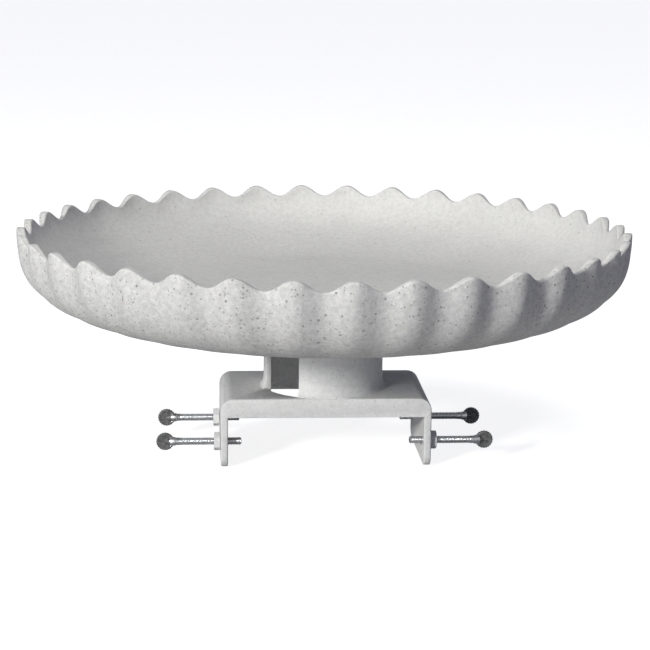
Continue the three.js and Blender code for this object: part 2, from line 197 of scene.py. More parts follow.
def prism(name, outline, low, high, axis="Z"):
    """A closed body from a flat outline swept from low to high along an axis."""
    count = len(outline)
    place = {
        "Z": lambda u, v, w: (u, v, w),
        "Y": lambda u, v, w: (u, w, v),
        "X": lambda u, v, w: (w, u, v),
    }[axis]
    verts = [place(u, v, w) for w in (low, high) for u, v in outline]
    faces = [tuple(range(count)), tuple(range(2 * count - 1, count - 1, -1))]
    for j in range(count):
        k = (j + 1) % count
        faces.append((j, k, k + count, j + count))
    obj = mesh_object(name, verts, faces)
    recalculate_normals(obj)
    return obj


def rounded_outline(corners, steps=10):
    """Points of a closed outline, with an arc at each corner given as (x, y, radius)."""
    points = []
    count = len(corners)
    for i, (x, y, radius) in enumerate(corners):
        corner = Vector((x, y))
        if radius == 0:
            points.append((x, y))
            continue
        before = (Vector(corners[i - 1][:2]) - corner).normalized()
        after = (Vector(corners[(i + 1) % count][:2]) - corner).normalized()
        centre = corner + radius * (before + after)
        for step in range(steps + 1):
            angle = step / steps * math.pi / 2
            inward = math.cos(angle) * after + math.sin(angle) * before
            points.append(tuple(centre - radius * inward))
    return points


def boolean(target, tool, operation):
    """Joins, cuts or intersects target with tool, and removes tool and any material slots."""
    modifier = target.modifiers.new(operation.lower(), "BOOLEAN")
    modifier.operation = operation
    modifier.solver = "MANIFOLD"
    modifier.object = tool
    apply_modifiers(target)
    bpy.data.objects.remove(tool)
    target.data.materials.clear()
    return target


def apply_modifiers(obj):
    """Replaces an object's mesh by the result of its modifiers."""
    graph = bpy.context.evaluated_depsgraph_get()
    result = bpy.data.meshes.new_from_object(obj.evaluated_get(graph))
    obj.modifiers.clear()
    obj.data = result


def round_edges(obj, width, segments=3, angle=35):
    """Rounds every edge sharper than an angle, and applies the result."""
    merge_close_points(obj, 0.03 * MM)
    modifier = obj.modifiers.new("rounding", "BEVEL")
    modifier.width = width
    modifier.segments = segments
    modifier.limit_method = "ANGLE"
    modifier.angle_limit = math.radians(angle)
    modifier.use_clamp_overlap = False
    apply_modifiers(obj)


def merge_close_points(obj, distance):
    """Removes slivers that cuts leave behind, so that rounding stays even, and any material slots."""
    bm = bmesh.new()
    bm.from_mesh(obj.data)
    bmesh.ops.remove_doubles(bm, verts=bm.verts, dist=distance)
    bmesh.ops.dissolve_degenerate(bm, edges=bm.edges, dist=distance)
    bmesh.ops.dissolve_limit(bm, angle_limit=math.radians(0.5), verts=bm.verts, edges=bm.edges)
    bm.to_mesh(obj.data)
    bm.free()
    obj.data.materials.clear()


def smooth_shading(obj, angle=40):
    """Shades smooth, but keeps edges sharper than an angle crisp."""
    obj.data.shade_smooth()
    obj.data.set_sharp_from_angle(angle=math.radians(angle))


def finish_piece(obj, material, slot_name, body, *nodes):
    """Gives a piece its material and its body, and lets it stand for CAD nodes."""
    if not obj.data.materials:
        obj.data.materials.append(material)
    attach(obj, body)
    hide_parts(*nodes)
    return obj


# ---- Node helpers ----------------------------------------------------------------

class Nodes:
    """A short way to write a material's node tree."""

    def __init__(self, name):
        self.material = bpy.data.materials.new(name)
        self.material.use_nodes = True
        self.tree = self.material.node_tree
        self.shader = self.tree.nodes["Principled BSDF"]
        self.where = self.add("ShaderNodeTexCoord").outputs["Object"]

    def add(self, kind, **settings):
        node = self.tree.nodes.new(kind)
        for key, value in settings.items():
            setattr(node, key, value)
        return node

    def link(self, source, target):
        self.tree.links.new(source, target)

    def put(self, value, socket):
        """Feeds a socket with a link or a plain value."""
        if isinstance(value, bpy.types.NodeSocket):
            self.link(value, socket)
        else:
            socket.default_value = value

    def math(self, operation, a, b=0.0, clamp=False):
        node = self.add("ShaderNodeMath", operation=operation, use_clamp=clamp)
        self.put(a, node.inputs[0])
        self.put(b, node.inputs[1])
        return node.outputs[0]

    def noise(self, scale, detail=3.0, roughness=0.5, offset=0.0):
        shifted = self.where
        if offset:
            mapping = self.add("ShaderNodeMapping")
            mapping.inputs["Location"].default_value = (offset, offset, offset)
            self.link(self.where, mapping.inputs["Vector"])
            shifted = mapping.outputs[0]
        node = self.add("ShaderNodeTexNoise")
        self.link(shifted, node.inputs["Vector"])
        node.inputs["Scale"].default_value = scale
        node.inputs["Detail"].default_value = detail
        node.inputs["Roughness"].default_value = roughness
        return node.outputs["Fac"]

    def spread(self, value, low, high, to_low, to_high, smooth=False):
        node = self.add("ShaderNodeMapRange")
        node.interpolation_type = "SMOOTHSTEP" if smooth else "LINEAR"
        for socket, entry in zip(node.inputs[:5], (value, low, high, to_low, to_high)):
            self.put(entry, socket)
        return node.outputs[0]

    def mix(self, factor, a, b):
        node = self.add("ShaderNodeMix", data_type="RGBA")
        self.put(factor, node.inputs["Factor"])
        self.put(a, node.inputs[6])
        self.put(b, node.inputs[7])
        return node.outputs[2]

    def bump(self, height, strength, distance, normal=None):
        node = self.add("ShaderNodeBump")
        node.inputs["Strength"].default_value = strength
        node.inputs["Distance"].default_value = distance
        self.link(height, node.inputs["Height"])
        if normal is not None:
            self.link(normal, node.inputs["Normal"])
        return node.outputs[0]


def specks(nodes, scale, density, smallest, largest, offset):
    """A mask of round specks: one in some of a Voronoi texture's cells, each of its own size."""
    mapping = nodes.add("ShaderNodeMapping")
    mapping.inputs["Location"].default_value = (offset, offset * 2, offset * 3)
    nodes.link(nodes.where, mapping.inputs["Vector"])
    cells = nodes.add("ShaderNodeTexVoronoi")
    cells.inputs["Scale"].default_value = scale
    nodes.link(mapping.outputs[0], cells.inputs["Vector"])
    parts = nodes.add("ShaderNodeSeparateColor")
    nodes.link(cells.outputs["Color"], parts.inputs[0])
    patches = nodes.noise(14.0, 2.0, offset=offset)
    clusters = nodes.spread(patches, 0.35, 0.65, 0.35 * density, 1.7 * density)
    chosen = nodes.math("LESS_THAN", parts.outputs[0], clusters)
    size = nodes.spread(parts.outputs[1], 0.0, 1.0, smallest, largest)
    inner = nodes.math("MULTIPLY", size, 0.55)
    disc = nodes.spread(cells.outputs["Distance"], inner, size, 1.0, 0.0, smooth=True)
    mask = nodes.math("MULTIPLY", chosen, disc)
    strength = nodes.spread(parts.outputs[2], 0.0, 1.0, 0.35, 1.0)
    return nodes.math("MULTIPLY", mask, strength)


def shade(tone, share):
    """A tone made darker or lighter, as a colour with alpha."""
    return tuple(min(1.0, c * share) for c in tone) + (1.0,)


def stone_material(name, tone, density, contrast):
    """Moulded stone-effect resin: soft mottling, dark and pale specks, fine grain, uneven sheen."""
    nodes = Nodes(name)
    broad = nodes.spread(nodes.noise(9.0, 3.0, 0.55), 0.3, 0.7, 0.0, 1.0)
    colour = nodes.mix(broad, shade(tone, 0.96), shade(tone, 1.04))
    mottle = nodes.spread(nodes.noise(240.0, 3.0, 0.62, offset=1.3), 0.40, 0.64, 0.0, 0.7 * contrast)
    colour = nodes.mix(mottle, colour, shade(tone, 0.66))
    grain = nodes.spread(nodes.noise(700.0, 3.0, 0.65, offset=7.7), 0.42, 0.64, 0.0, 0.6 * contrast)
    colour = nodes.mix(grain, colour, shade(tone, 0.72))
    pale = specks(nodes, 300.0, 0.40 * density, 0.14, 0.30, 3.1)
    colour = nodes.mix(nodes.math("MULTIPLY", pale, 0.55), colour, (0.88, 0.88, 0.86, 1.0))
    large = specks(nodes, 250.0, 0.40 * density, 0.15, 0.36, 5.7)
    small = specks(nodes, 430.0, 0.50 * density, 0.16, 0.42, 9.2)
    dots = nodes.math("MAXIMUM", large, nodes.math("MULTIPLY", small, 0.85))
    colour = nodes.mix(nodes.math("MULTIPLY", dots, min(0.9, contrast)), colour, shade(tone, 0.24))
    nodes.link(colour, nodes.shader.inputs["Base Color"])
    sheen = nodes.spread(nodes.noise(60.0, 4.0, 0.6, offset=2.2), 0.3, 0.7, 0.54, 0.72)
    nodes.link(sheen, nodes.shader.inputs["Roughness"])
    lumps = nodes.bump(nodes.noise(85.0, 3.0, 0.5, offset=4.4), 0.30, 0.0010)
    fine = nodes.bump(nodes.noise(800.0, 3.0, 0.6, offset=6.1), 0.40, 0.0003, lumps)
    pits = nodes.bump(nodes.math("SUBTRACT", 1.0, dots), 0.5, 0.0003, fine)
    nodes.link(pits, nodes.shader.inputs["Normal"])
    nodes.shader.inputs["IOR"].default_value = 1.48
    return nodes.material


def zinc_material(name, tone, roughness):
    """Dull zinc plate: spangled tone, faint tarnish and fine scratches."""
    nodes = Nodes(name)
    spangle = nodes.spread(nodes.noise(500.0, 2.0, 0.5), 0.3, 0.7, 0.0, 1.0)
    base = nodes.mix(spangle, shade(tone, 0.82), shade(tone, 1.0))
    tarnish = nodes.spread(nodes.noise(130.0, 4.0, 0.6, offset=2.7), 0.5, 0.75, 0.0, 0.55)
    colour = nodes.mix(tarnish, base, (tone[0] * 0.62, tone[1] * 0.60, tone[2] * 0.57, 1.0))
    nodes.link(colour, nodes.shader.inputs["Base Color"])
    nodes.shader.inputs["Metallic"].default_value = 1.0
    rough = nodes.spread(nodes.noise(260.0, 4.0, 0.6, offset=5.0), 0.3, 0.7, roughness, roughness + 0.18)
    nodes.link(rough, nodes.shader.inputs["Roughness"])
    nodes.link(nodes.bump(nodes.noise(1500.0, 2.0, 0.5), 0.25, 0.0002), nodes.shader.inputs["Normal"])
    return nodes.material


def head_material(name, tone):
    """Very dark grey, grainy surface on the faces of the thumb screws' heads."""
    nodes = Nodes(name)
    blotch = nodes.spread(nodes.noise(420.0, 3.0, 0.6), 0.35, 0.65, 0.0, 1.0)
    colour = nodes.mix(blotch, shade(tone, 0.6), shade(tone, 1.5))
    nodes.link(colour, nodes.shader.inputs["Base Color"])
    nodes.shader.inputs["Metallic"].default_value = 0.35
    rough = nodes.spread(nodes.noise(300.0, 3.0, 0.5, offset=3.0), 0.3, 0.7, 0.45, 0.65)
    nodes.link(rough, nodes.shader.inputs["Roughness"])
    nodes.link(nodes.bump(nodes.noise(900.0, 2.0, 0.5), 0.6, 0.0004), nodes.shader.inputs["Normal"])
    return nodes.material


# ---- Materials -------------------------------------------------------------------

stone_outside = stone_material("stone_outside", (0.65, 0.645, 0.635), 1.0, 0.80)
stone_inside = stone_material("stone_inside", (0.68, 0.675, 0.655), 0.2, 0.42)
# The bracket's own pale grey, lightened further as painted light: it stands in for light that reaches under
# the bowl onto the bracket and its nuts.
stone_bracket_with_painted_light = stone_material("stone_bracket_with_painted_light", (0.82, 0.82, 0.81), 0.3, 0.4)
cover_resin = stone_material("cover_resin", (0.50, 0.50, 0.49), 0.3, 0.4)
zinc = zinc_material("zinc", (0.80, 0.81, 0.83), 0.24)
head_grey = head_material("head_grey", (0.14, 0.14, 0.14))


# ---- Bowl ------------------------------------------------------------------------

def bowl_angles():
    count = FLUTE_COUNT * COLUMNS_PER_FLUTE
    return FLUTE_PHASE + np.linspace(0, 2 * math.pi, count, endpoint=False)


def groove_share(angles):
    """0 on a crest and 1 in a groove."""
    return (1 - np.cos(FLUTE_COUNT * (angles - FLUTE_PHASE))) / 2


def superellipse_radius(depth, rim, flat, full_depth, sharpness, flatness):
    """Radius of a bowl's wall at a depth below its rim."""
    share = np.clip(depth / full_depth, 0, 1) ** flatness
    return flat + (rim - flat) * (1 - share) ** (1 / sharpness)


def plain_outer_radius(depth):
    """The outer wall over its crests."""
    rim, flat = BOWL_RADIUS, UNDERSIDE_RADIUS
    return superellipse_radius(depth, rim, flat, BOWL_DEPTH, OUTER_SHARPNESS, OUTER_FLATNESS)


def plain_basin_radius(depth):
    """The basin wall without its shallow flutes."""
    rim, flat = BASIN_RIM_RADIUS, BASIN_FLOOR_RADIUS
    return superellipse_radius(depth, rim, flat, BASIN_DEPTH, BASIN_SHARPNESS, BASIN_FLATNESS)


def outer_radius(depth, groove):
    fade = np.clip(1 - (depth / BOWL_DEPTH) ** 2, 0, 1)
    return plain_outer_radius(depth) - FLUTE_DEPTH * fade * groove


def basin_radius(depth, groove):
    fade = np.clip(1 - depth / INNER_FLUTE_REACH, 0, 1) ** 2
    return plain_basin_radius(depth) - INNER_FLUTE_DEPTH * fade * groove


def wall_rings(radius_at, full_depth, flatness, angles, rows):
    """Rings down one wall, from just under the rounded rim edge to its flat."""
    groove = groove_share(angles)
    top = SCALLOP_HEIGHT * groove + RIM_ROUNDING
    rings = []
    for i in range(rows + 1):
        turn = (i / rows) ** 1.15 * math.pi / 2
        depth = top + (full_depth - top) * math.sin(turn) ** (2 / flatness)
        radius = radius_at(depth, groove)
        rings.append(np.stack((radius * np.cos(angles), radius * np.sin(angles), RIM_Z - depth), axis=1))
    return rings


def rim_rings(angles):
    """Rings over the rim, from the inner wall's top to the outer wall's top."""
    groove = groove_share(angles)
    top = SCALLOP_HEIGHT * groove
    inner = basin_radius(top + RIM_ROUNDING, groove)
    outer = outer_radius(top + RIM_ROUNDING, groove)
    corner = []
    for turn in (0.2, 0.45, 0.72, 1.0):
        angle = turn * math.pi / 2
        corner.append((RIM_ROUNDING * (1 - math.cos(angle)), RIM_ROUNDING * (1 - math.sin(angle))))
    stations = [(inner + inset, drop) for inset, drop in corner]
    flat_in, flat_out = inner + RIM_ROUNDING, outer - RIM_ROUNDING
    for share in (0.33, 0.67):
        stations.append((flat_in + (flat_out - flat_in) * share, 0.0))
    stations += [(outer - inset, drop) for inset, drop in reversed(corner)]
    rings = []
    for radius, drop in stations:
        level = RIM_Z - top - drop
        rings.append(np.stack((radius * np.cos(angles), radius * np.sin(angles), level), axis=1))
    return rings


def flat_ring(angles, radius, level):
    return np.stack((radius * np.cos(angles), radius * np.sin(angles), np.full(len(angles), level)), axis=1)


def build_bowl():
    """One closed body: basin, scalloped rim, fluted wall and the hollow between, open underneath."""
    angles = bowl_angles()
    floor_z = RIM_Z - BASIN_DEPTH
    opening = UNDERSIDE_RADIUS - SHELL_WALL
    floor = [flat_ring(angles, r * MM, floor_z) for r in (2, 20, 40, 60, 80, 100, 120, 136)]
    basin = wall_rings(basin_radius, BASIN_DEPTH, BASIN_FLATNESS, angles, 34)[::-1]
    rim = rim_rings(angles)
    outside = wall_rings(outer_radius, BOWL_DEPTH, OUTER_FLATNESS, angles, 40)
    lip = [
        flat_ring(angles, opening + 0.6 * MM, UNDERSIDE_Z),
        flat_ring(angles, opening, UNDERSIDE_Z + 0.6 * MM),
        flat_ring(angles, opening, UNDERSIDE_Z + SHELL_WALL),
    ]
    hollow = []
    for depth in (72, 66, 56, 44, 32):
        radius = plain_outer_radius(depth * MM) - SHELL_WALL - FLUTE_DEPTH
        hollow.append(flat_ring(angles, radius, RIM_Z - depth * MM))
    for depth in (32, 44, 52):
        radius = plain_basin_radius(depth * MM) + 2 * MM
        hollow.append(flat_ring(angles, radius, RIM_Z - (depth + 3) * MM))
    hollow.append(flat_ring(angles, BASIN_FLOOR_RADIUS, floor_z - SHELL_WALL))
    hollow.append(flat_ring(angles, 2 * MM, floor_z - SHELL_WALL))
    rings = floor + basin + rim + outside + lip + hollow
    obj = ring_solid("bowl_body", rings)
    soften_surface(obj, 0.22 * MM, 26.0)
    inside_rows = len(floor) + len(basin) + len(rim) // 2
    paint_rows(obj, len(angles), inside_rows)
    smooth_shading(obj, 50)
    return obj


def soften_surface(obj, height, scale):
    """Gives a surface the shallow unevenness of a hand-made pattern."""
    mesh = obj.data
    normals = [v.normal.copy() for v in mesh.vertices]
    for vertex, normal in zip(mesh.vertices, normals):
        point = vertex.co * scale
        wave = noise.noise(point) + 0.5 * noise.noise(point * 2.3)
        vertex.co -= normal * height * (0.5 + 0.5 * wave)
    mesh.update()


def paint_rows(obj, columns, inside_rows):
    """The outside stone everywhere, but the inside stone on the first rows of rings and their pole."""
    obj.data.materials.append(stone_outside)
    obj.data.materials.append(stone_inside)
    last_inside = inside_rows * columns
    last_pole = len(obj.data.vertices) - 1
    for polygon in obj.data.polygons:
        lowest = min(polygon.vertices)
        inside = lowest < last_inside and last_pole not in polygon.vertices
        polygon.material_index = 1 if inside else 0


# ---- Bracket ---------------------------------------------------------------------

def saddle():
    """Plate and legs, with the legs' lower corners rounded."""
    half = bracket_high.x
    inner = half - LEG_THICKNESS
    ceiling = BRACKET_HEIGHT - PLATE_THICKNESS
    inside = BEND_RADIUS - LEG_THICKNESS
    outline = rounded_outline([
        (-half, 0, 0),
        (-inner, 0, 0),
        (-inner, ceiling, inside),
        (inner, ceiling, inside),
        (inner, 0, 0),
        (half, 0, 0),
        (half, BRACKET_HEIGHT, BEND_RADIUS),
        (-half, BRACKET_HEIGHT, BEND_RADIUS),
    ])
    depth = BRACKET_DEPTH / 2
    body = prism("bracket_body", outline, -depth, depth, "Y")
    corner = LEG_CORNER_RADIUS
    side = rounded_outline([(-depth, 0, corner), (depth, 0, corner), (depth, 0.08, 0), (-depth, 0.08, 0)])
    boolean(body, prism("leg_trim", side, -0.1, 0.1, "X"), "INTERSECT")
    round_edges(body, EDGE_ROUNDING)
    return body


def collar_blank():
    """The solid collar with its flared foot, before it is trimmed and bored."""
    foot = BRACKET_HEIGHT - PLATE_THICKNESS / 2
    profile = [(1e-4, foot), (COLLAR_RADIUS + FLARE_WIDTH, foot)]
    for i in range(13):
        angle = i / 12 * math.pi / 2
        radius = COLLAR_RADIUS + FLARE_WIDTH * (1 - math.sin(angle))
        profile.append((radius, BRACKET_HEIGHT + FLARE_HEIGHT * (1 - math.cos(angle))))
    profile += [(COLLAR_RADIUS, COLLAR_TOP_Z), (1e-4, COLLAR_TOP_Z)]
    return revolve("collar_blank", profile, 144)


def window_tool(inner, outer, low, high):
    """A curved block as wide as the collar's window."""
    start, end, steps = WINDOW_START, WINDOW_END, 24
    turns = [start + (end - start) * i / steps for i in range(steps + 1)]
    outline = [(outer * math.cos(t), outer * math.sin(t)) for t in turns]
    outline += [(inner * math.cos(t), inner * math.sin(t)) for t in reversed(turns)]
    return prism("window_tool", outline, low, high)


def cylinder(name, radius, low, high, axis="Z", segments=48, centre=(0, 0, 0)):
    """A closed cylinder along an axis, shifted by centre."""
    turns = [2 * math.pi * i / segments for i in range(segments)]
    obj = prism(name, [(radius * math.cos(t), radius * math.sin(t)) for t in turns], low, high, axis)
    obj.data.transform(Matrix.Translation(centre))
    return obj


def lug(index):
    """A rounded tab inside the collar's top, with its screw hole."""
    tip, root = LUG_WIDTH / 2, COLLAR_BORE + 2 * MM
    turns = [math.pi / 2 + math.pi * i / 16 for i in range(17)]
    outline = [(root, tip)]
    outline += [(BOWL_SCREW_CIRCLE + tip * math.cos(t), tip * math.sin(t)) for t in turns]
    outline += [(root, -tip)]
    tab = prism("lug", outline, COLLAR_TOP_Z - LUG_THICKNESS, COLLAR_TOP_Z)
    hole_radius = BOWL_SCREW_RADIUS + CLEARANCE
    hole = cylinder("lug_hole", hole_radius, 0.05, 0.2, "Z", 32, (BOWL_SCREW_CIRCLE, 0, 0))
    boolean(tab, hole, "DIFFERENCE")
    tab.data.transform(Matrix.Rotation(2 * math.pi * index / BOWL_SCREW_COUNT, 4, "Z"))
    return tab


def skirt(side):
    """The strip that hangs from the plate's front (-1) or rear (1) edge, down to the rail."""
    middle = side * (BRACKET_DEPTH - SKIRT_THICKNESS) / 2
    reach = bracket_high.x - LEG_THICKNESS / 2
    low, high = BRACKET_HEIGHT - SKIRT_HEIGHT, BRACKET_HEIGHT - PLATE_THICKNESS / 2
    outline = [(-reach, low), (reach, low), (reach, high), (-reach, high)]
    half = SKIRT_THICKNESS / 2
    strip = prism("skirt", outline, middle - half, middle + half, "Y")
    round_edges(strip, SKIRT_ROUNDING)
    return strip


def collar():
    """The collar, cut off in front and behind so that its foot stays on the plate."""
    edge = BRACKET_DEPTH / 2 - FOOT_MARGIN
    trim = prism("collar_trim", [(-0.1, -edge), (0.1, -edge), (0.1, edge), (-0.1, edge)], 0.01, 0.2)
    return boolean(collar_blank(), trim, "INTERSECT")


def bore_tool():
    """A round tool for the collar's bore, wider below so that it breaks the plate's lower edge."""
    under = BRACKET_HEIGHT - PLATE_THICKNESS
    profile = [(1e-4, 0), (COLLAR_BORE + EDGE_ROUNDING, 0), (COLLAR_BORE + EDGE_ROUNDING, under)]
    profile += [(COLLAR_BORE + 0.3 * EDGE_ROUNDING, under + 0.3 * EDGE_ROUNDING)]
    profile += [(COLLAR_BORE, under + EDGE_ROUNDING), (COLLAR_BORE, 0.2), (1e-4, 0.2)]
    return revolve("bore", profile, 144)


def build_bracket():
    """One moulding: saddle, skirts, collar and lugs, with its bore, window and screw holes."""
    body = saddle()
    for side in (-1, 1):
        boolean(body, skirt(side), "UNION")
    boolean(body, collar(), "UNION")
    boolean(body, bore_tool(), "DIFFERENCE")
    inner = COLLAR_BORE - 5 * MM
    boolean(body, window_tool(inner, COLLAR_RADIUS, -0.01, BRACKET_HEIGHT + MM), "DIFFERENCE")
    high = COLLAR_TOP_Z - WINDOW_BRIDGE
    boolean(body, window_tool(inner, COLLAR_RADIUS + 6 * MM, BRACKET_HEIGHT, high), "DIFFERENCE")
    for index in range(BOWL_SCREW_COUNT):
        boolean(body, lug(index), "UNION")
    thumb_z = (screw_low.z + screw_high.z) / 2
    for side in (-1, 1):
        centre = (0, side * THUMB_SPACING / 2, thumb_z)
        drill = cylinder("drill", THUMB_RADIUS + CLEARANCE, -0.1, 0.1, "X", 48, centre)
        boolean(body, drill, "DIFFERENCE")
    round_edges(body, CUT_EDGE_ROUNDING, 2, 60)
    smooth_shading(body, 35)
    return body


# ---- Fasteners -------------------------------------------------------------------

def ring_along_x(x, radius, angles):
    """A ring round the X axis, with one radius or a radius for each angle."""
    return np.stack((np.full(len(angles), x), radius * np.cos(angles), radius * np.sin(angles)), axis=1)


def thread_rings(start, end, radius, pitch, depth, columns=40, rows_per_turn=10):
    """Rings of a helical thread along +X, fading out at both ends."""
    angles = np.linspace(0, 2 * math.pi, columns, endpoint=False)
    rows = int((end - start) / pitch * rows_per_turn)
    rings = []
    for i in range(rows + 1):
        x = start + (end - start) * i / rows
        phase = (x / pitch - angles / (2 * math.pi)) % 1.0
        ridge = np.clip(np.abs(phase - 0.5) * 2.6 - 0.15, 0, 1)
        fade = min(1.0, (x - start) / (1.2 * pitch) + 0.15, (end - x) / (2 * pitch))
        surface = radius - depth * ridge * fade
        rings.append(ring_along_x(x, surface, angles))
    return rings


def circle_ring(x, radius, columns=40):
    return ring_along_x(x, radius, np.linspace(0, 2 * math.pi, columns, endpoint=False))


def build_spade_head():
    """A coin-shaped grip across the shank, with a knurled edge and slightly sunk faces."""
    half, count = SPADE_THICKNESS / 2, 240
    angles = np.linspace(0, 2 * math.pi, count, endpoint=False)
    knurl = 0.5 - 0.5 * np.cos(KNURL_COUNT * angles)
    face = [(0.01, 0.80), (0.60, 0.80), (0.70, 0.84), (0.78, 0.97)]
    face += [(0.86, 1.0), (0.94, 0.88), (0.985, 0.6), (1.0, 0.3)]
    stations = [(r, -t) for r, t in face] + [(r, t) for r, t in reversed(face)]
    rings = []
    for share, level in stations:
        radius = SPADE_RADIUS * share * (1 - 0.055 * knurl * max(0.0, share - 0.7) / 0.3)
        across, along = radius * np.cos(angles), radius * np.sin(angles)
        rings.append(np.stack((across, np.full(count, level * half), along), axis=1))
    return ring_solid("spade", rings)


def build_thumb_screw_mesh():
    """Thumb screw along +X: threaded shank, smooth neck, small collar and a coin-shaped head."""
    length = SHANK_LENGTH
    neck = length - NECK_LENGTH
    rings = [circle_ring(0.0, THUMB_RADIUS * 0.62), circle_ring(0.5 * MM, THUMB_RADIUS * 0.84)]
    rings += thread_rings(0.7 * MM, neck, THUMB_RADIUS, THREAD_PITCH, THREAD_DEPTH)
    step = length - SPADE_RADIUS - 1.2 * MM
    wide = THUMB_RADIUS + 0.55 * MM
    rings += [circle_ring(neck + 0.6 * MM, THUMB_RADIUS), circle_ring(step, THUMB_RADIUS)]
    rings += [circle_ring(step + 0.5 * MM, wide), circle_ring(length - 4 * MM, wide)]
    rings += [circle_ring(length - 2.5 * MM, THUMB_RADIUS * 0.9), circle_ring(length, THUMB_RADIUS * 0.5)]
    shank = ring_solid("shank", rings)
    spade = build_spade_head()
    spade.data.transform(Matrix.Translation((length, 0, 0)))
    boolean(shank, spade, "UNION")
    return shank


def place_copies(mesh, prefix, placements):
    """One object per placement of (node, body, matrix), each standing for the CAD node it names."""
    for node, body, matrix in placements:
        obj = bpy.data.objects.new(f"{prefix}_{node}", mesh.copy())
        bpy.context.scene.collection.objects.link(obj)
        obj.data.transform(matrix)
        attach(obj, body)
        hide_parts(node)


def side_placements(prefix, body=None):
    """Places for one copy at each end of each leg; without a body, each copy rides its own clamp."""
    placements = []
    for side, sign in (("left", -1), ("right", 1)):
        for end in ("front", "rear"):
            node = f"{prefix}_{side}_{end}"
            low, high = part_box(node)
            inner = high.x if sign < 0 else low.x
            place = Matrix.Translation((inner, (low.y + high.y) / 2, (low.z + high.z) / 2))
            turn = Matrix.Rotation(math.pi if sign < 0 else 0.0, 4, "Z")
            placements.append((node, body or f"clamp_{side}_{end}", place @ turn))
    return placements


def build_thumb_screws():
    """The four screws: zinc, with very dark grey heads."""
    pattern = build_thumb_screw_mesh()
    mesh = pattern.data
    mesh.materials.append(zinc)
    mesh.materials.append(head_grey)
    for polygon in mesh.polygons:
        middle = polygon.center
        out = math.hypot(middle.x - SHANK_LENGTH, middle.z)
        off_shank = math.hypot(middle.y, middle.z) > THUMB_RADIUS + 0.7 * MM
        past_collar = middle.x > SHANK_LENGTH - 3.9 * MM
        on_head = out < SPADE_RADIUS * 1.01 and (off_shank or past_collar)
        polygon.material_index = 1 if on_head else 0
    mesh.shade_smooth()
    mesh.set_sharp_from_angle(angle=math.radians(40))
    place_copies(mesh, "fine", side_placements("thumb_screw"))
    bpy.data.objects.remove(pattern)


def build_nuts():
    """Hexagon nuts with chamfered corners, one corner up."""
    height = nut_high.x - nut_low.x
    corner = (nut_high.z - nut_low.z) / 2
    flat = corner * math.cos(math.pi / 6)
    angles = np.linspace(0, 2 * math.pi, 96, endpoint=False)
    folded = (angles + math.pi / 6) % (math.pi / 3) - math.pi / 6
    hexagon = flat / np.cos(np.abs(np.abs(folded) - math.pi / 6))
    rings = []
    for x, limit in ((0, 0.92), (0.09, 0.97), (0.16, 1.0), (0.84, 1.0), (0.91, 0.97), (1.0, 0.90)):
        radius = np.minimum(hexagon, corner * limit)
        across, up = radius * np.sin(angles), radius * np.cos(angles)
        rings.append(np.stack((np.full(len(angles), x * height), across, up), axis=1))
    nut = ring_solid("nut", rings)
    bore = cylinder("nut_bore", THUMB_RADIUS + CLEARANCE, -0.01, 0.02, "X", 48)
    boolean(nut, bore, "DIFFERENCE")
    round_edges(nut, 0.35 * MM, 2)
    smooth_shading(nut, 30)
    # The nuts take the bracket's stone, with its painted light.
    nut.data.materials.append(stone_bracket_with_painted_light)
    place_copies(nut.data, "fine", side_placements("leg_nut", BODY))
    bpy.data.objects.remove(nut)


def build_pan_screws(prefix, count, shank_radius, length):
    """Pan-head screws that point up, with a cross recess in each head."""
    head = shank_radius * 2
    drop = shank_radius * 1.4
    profile = [(1e-4, -drop)]
    for i in range(9):
        crown = math.radians(60 * (1 - i / 8))
        profile.append((head * math.cos(crown), -drop * (0.4 + 0.6 * math.sin(crown))))
    profile += [(head, 0), (shank_radius, 0)]
    profile += [(shank_radius, length - shank_radius), (shank_radius * 0.3, length)]
    screw = revolve("pan_screw", profile, 40)
    arm, width = head * 0.62, shank_radius * 0.34
    outline = [(-arm, -width), (arm, -width), (arm, width), (-arm, width)]
    for turn in (0.0, math.pi / 2):
        slot = prism("recess", outline, -drop - MM, -drop * 0.45)
        slot.data.transform(Matrix.Rotation(turn, 4, "Z"))
        boolean(screw, slot, "DIFFERENCE")
    smooth_shading(screw, 35)
    screw.data.materials.append(zinc)
    placements = []
    for index in range(count):
        node = f"{prefix}_{index + 1}"
        low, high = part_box(node)
        spin = Matrix.Rotation(0.9 * index, 4, "Z")
        place = Matrix.Translation(((low.x + high.x) / 2, (low.y + high.y) / 2, low.z + drop))
        placements.append((node, BODY, place @ spin))
    place_copies(screw.data, "fine", placements)
    bpy.data.objects.remove(screw)


def build_washers():
    """Flat washers under the bowl screws' heads."""
    low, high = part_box("bowl_washer_1")
    radius, thick = (high.x - low.x) / 2, high.z - low.z
    washer = cylinder("washer", radius, 0, thick, "Z", 64)
    hole = cylinder("washer_hole", BOWL_SCREW_RADIUS + CLEARANCE, -0.01, 0.01, "Z", 48)
    boolean(washer, hole, "DIFFERENCE")
    round_edges(washer, 0.2 * MM, 2)
    smooth_shading(washer, 35)
    washer.data.materials.append(zinc)
    placements = []
    for index in range(BOWL_SCREW_COUNT):
        node = f"bowl_washer_{index + 1}"
        low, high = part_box(node)
        place = Matrix.Translation(((low.x + high.x) / 2, (low.y + high.y) / 2, low.z))
        placements.append((node, BODY, place))
    place_copies(washer.data, "fine", placements)
    bpy.data.objects.remove(washer)


